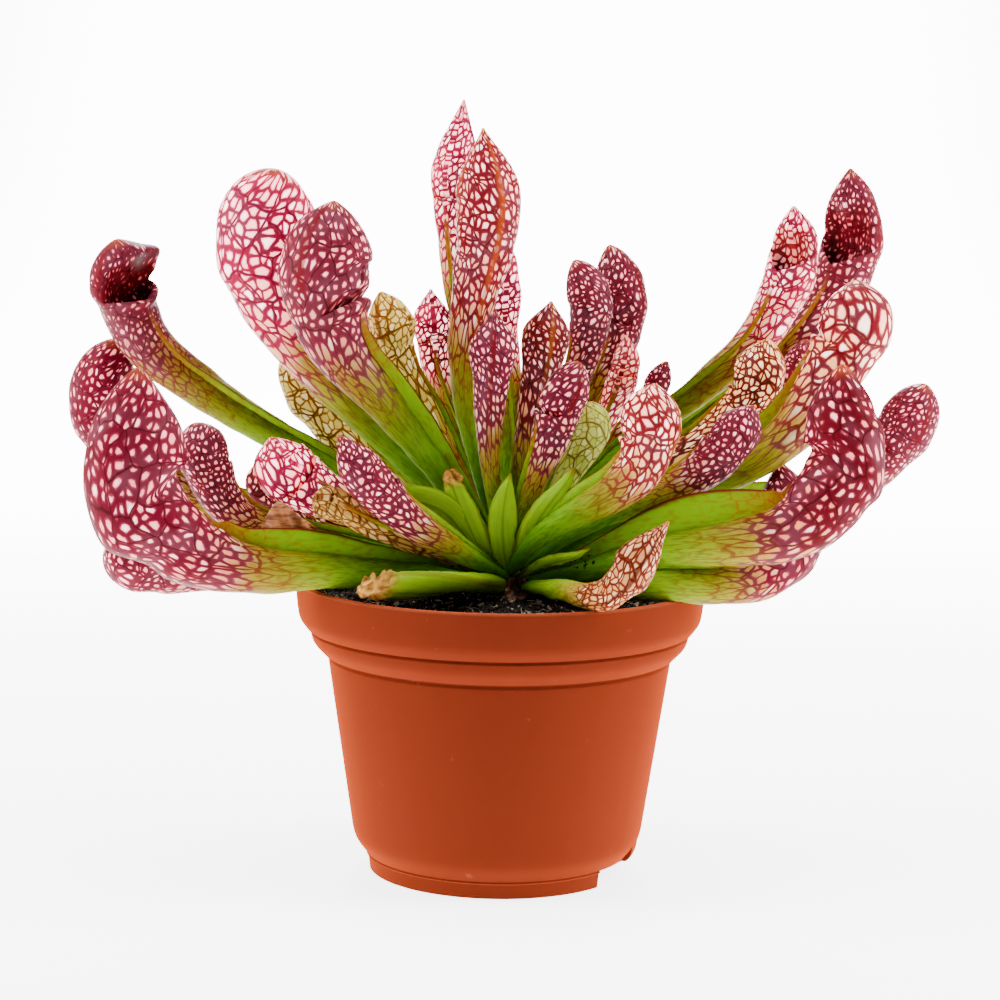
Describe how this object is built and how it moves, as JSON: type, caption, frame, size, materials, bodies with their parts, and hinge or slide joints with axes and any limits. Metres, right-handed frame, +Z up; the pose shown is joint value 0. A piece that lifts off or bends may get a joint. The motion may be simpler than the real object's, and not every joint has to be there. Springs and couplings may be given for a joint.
{
  "type": "potted pitcher plant",
  "caption": "Low clump of hooded, net-veined pitcher leaves in crimson, white and green, rooted in a filled round terracotta-coloured plastic nursery pot.",
  "frame": {"origin": "on the floor, under the middle of the part's outline, which is also the middle of the pot's foot to within 2 mm", "axes": "+Z up out of the pot, +X to the right and -Y towards the viewer as in the picture"},
  "size_m": [0.2578, 0.1281, 0.2259],
  "materials": {
    "pot_plastic": "satin moulded terracotta-coloured plastic",
    "peat": "dark damp peat with fibres and bits of bark",
    "crown": "rough brown rhizome and old leaf bases",
    "pitcher_skin": "satin leaf skin, green at the foot, crimson net veins with white windows above",
    "leaf_blade": "satin green leaf",
    "dry_leaf": "dry papery brown leaf with darker veins"
  },
  "bodies": {
    "root": {"pot": "pot_plastic", "soil": "peat", "rhizome": "crown", "pitcher_left_low_large": "pitcher_skin", "pitcher_left_under": "pitcher_skin", "pitcher_right_low_large": "pitcher_skin", "pitcher_right_under": "pitcher_skin", "pitcher_front_dried": "dry_leaf", "pitcher_front_left_keeled": "pitcher_skin", "pitcher_left_withered": "dry_leaf", "pitcher_front_right": "pitcher_skin", "pitcher_left_pale_open": "pitcher_skin", "pitcher_left_brown_tip": "dry_leaf", "pitcher_left_dark_small": "pitcher_skin", "pitcher_left_far": "pitcher_skin", "pitcher_left_long": "pitcher_skin", "pitcher_left_golden": "pitcher_skin", "pitcher_left_tall_pale": "pitcher_skin", "pitcher_left_tall_dark": "pitcher_skin", "pitcher_left_inner_golden": "pitcher_skin", "pitcher_left_inner_pink": "pitcher_skin", "pitcher_centre_tallest": "pitcher_skin", "pitcher_centre_tall": "pitcher_skin", "pitcher_centre_behind": "pitcher_skin", "pitcher_centre_front": "pitcher_skin", "pitcher_centre_bronze": "pitcher_skin", "pitcher_centre_bowed": "pitcher_skin", "pitcher_centre_maroon": "pitcher_skin", "pitcher_centre_maroon_back": "pitcher_skin", "pitcher_centre_coral": "pitcher_skin", "pitcher_centre_faded": "pitcher_skin", "pitcher_right_small_tip": "pitcher_skin", "pitcher_right_tall_pale": "pitcher_skin", "pitcher_right_tall_dark": "pitcher_skin", "pitcher_right_round": "pitcher_skin", "pitcher_right_far": "pitcher_skin", "pitcher_right_golden": "pitcher_skin", "pitcher_right_purple": "pitcher_skin", "pitcher_right_shaded": "pitcher_skin", "pitcher_back_low_left": "pitcher_skin", "pitcher_back_low_right": "pitcher_skin", "pitcher_back_left": "pitcher_skin", "pitcher_back_right": "pitcher_skin", "pitcher_back_high_centre": "pitcher_skin", "pitcher_back_high_left": "pitcher_skin", "pitcher_back_high_right": "pitcher_skin", "pitcher_back_far_right": "pitcher_skin", "blade_dry_tip": "leaf_blade", "blade_front": "leaf_blade", "blade_right": "leaf_blade", "blade_low_right": "leaf_blade", "blade_front_dry_tip": "leaf_blade", "blade_cut": "leaf_blade"}
  },
  "joints": []
}
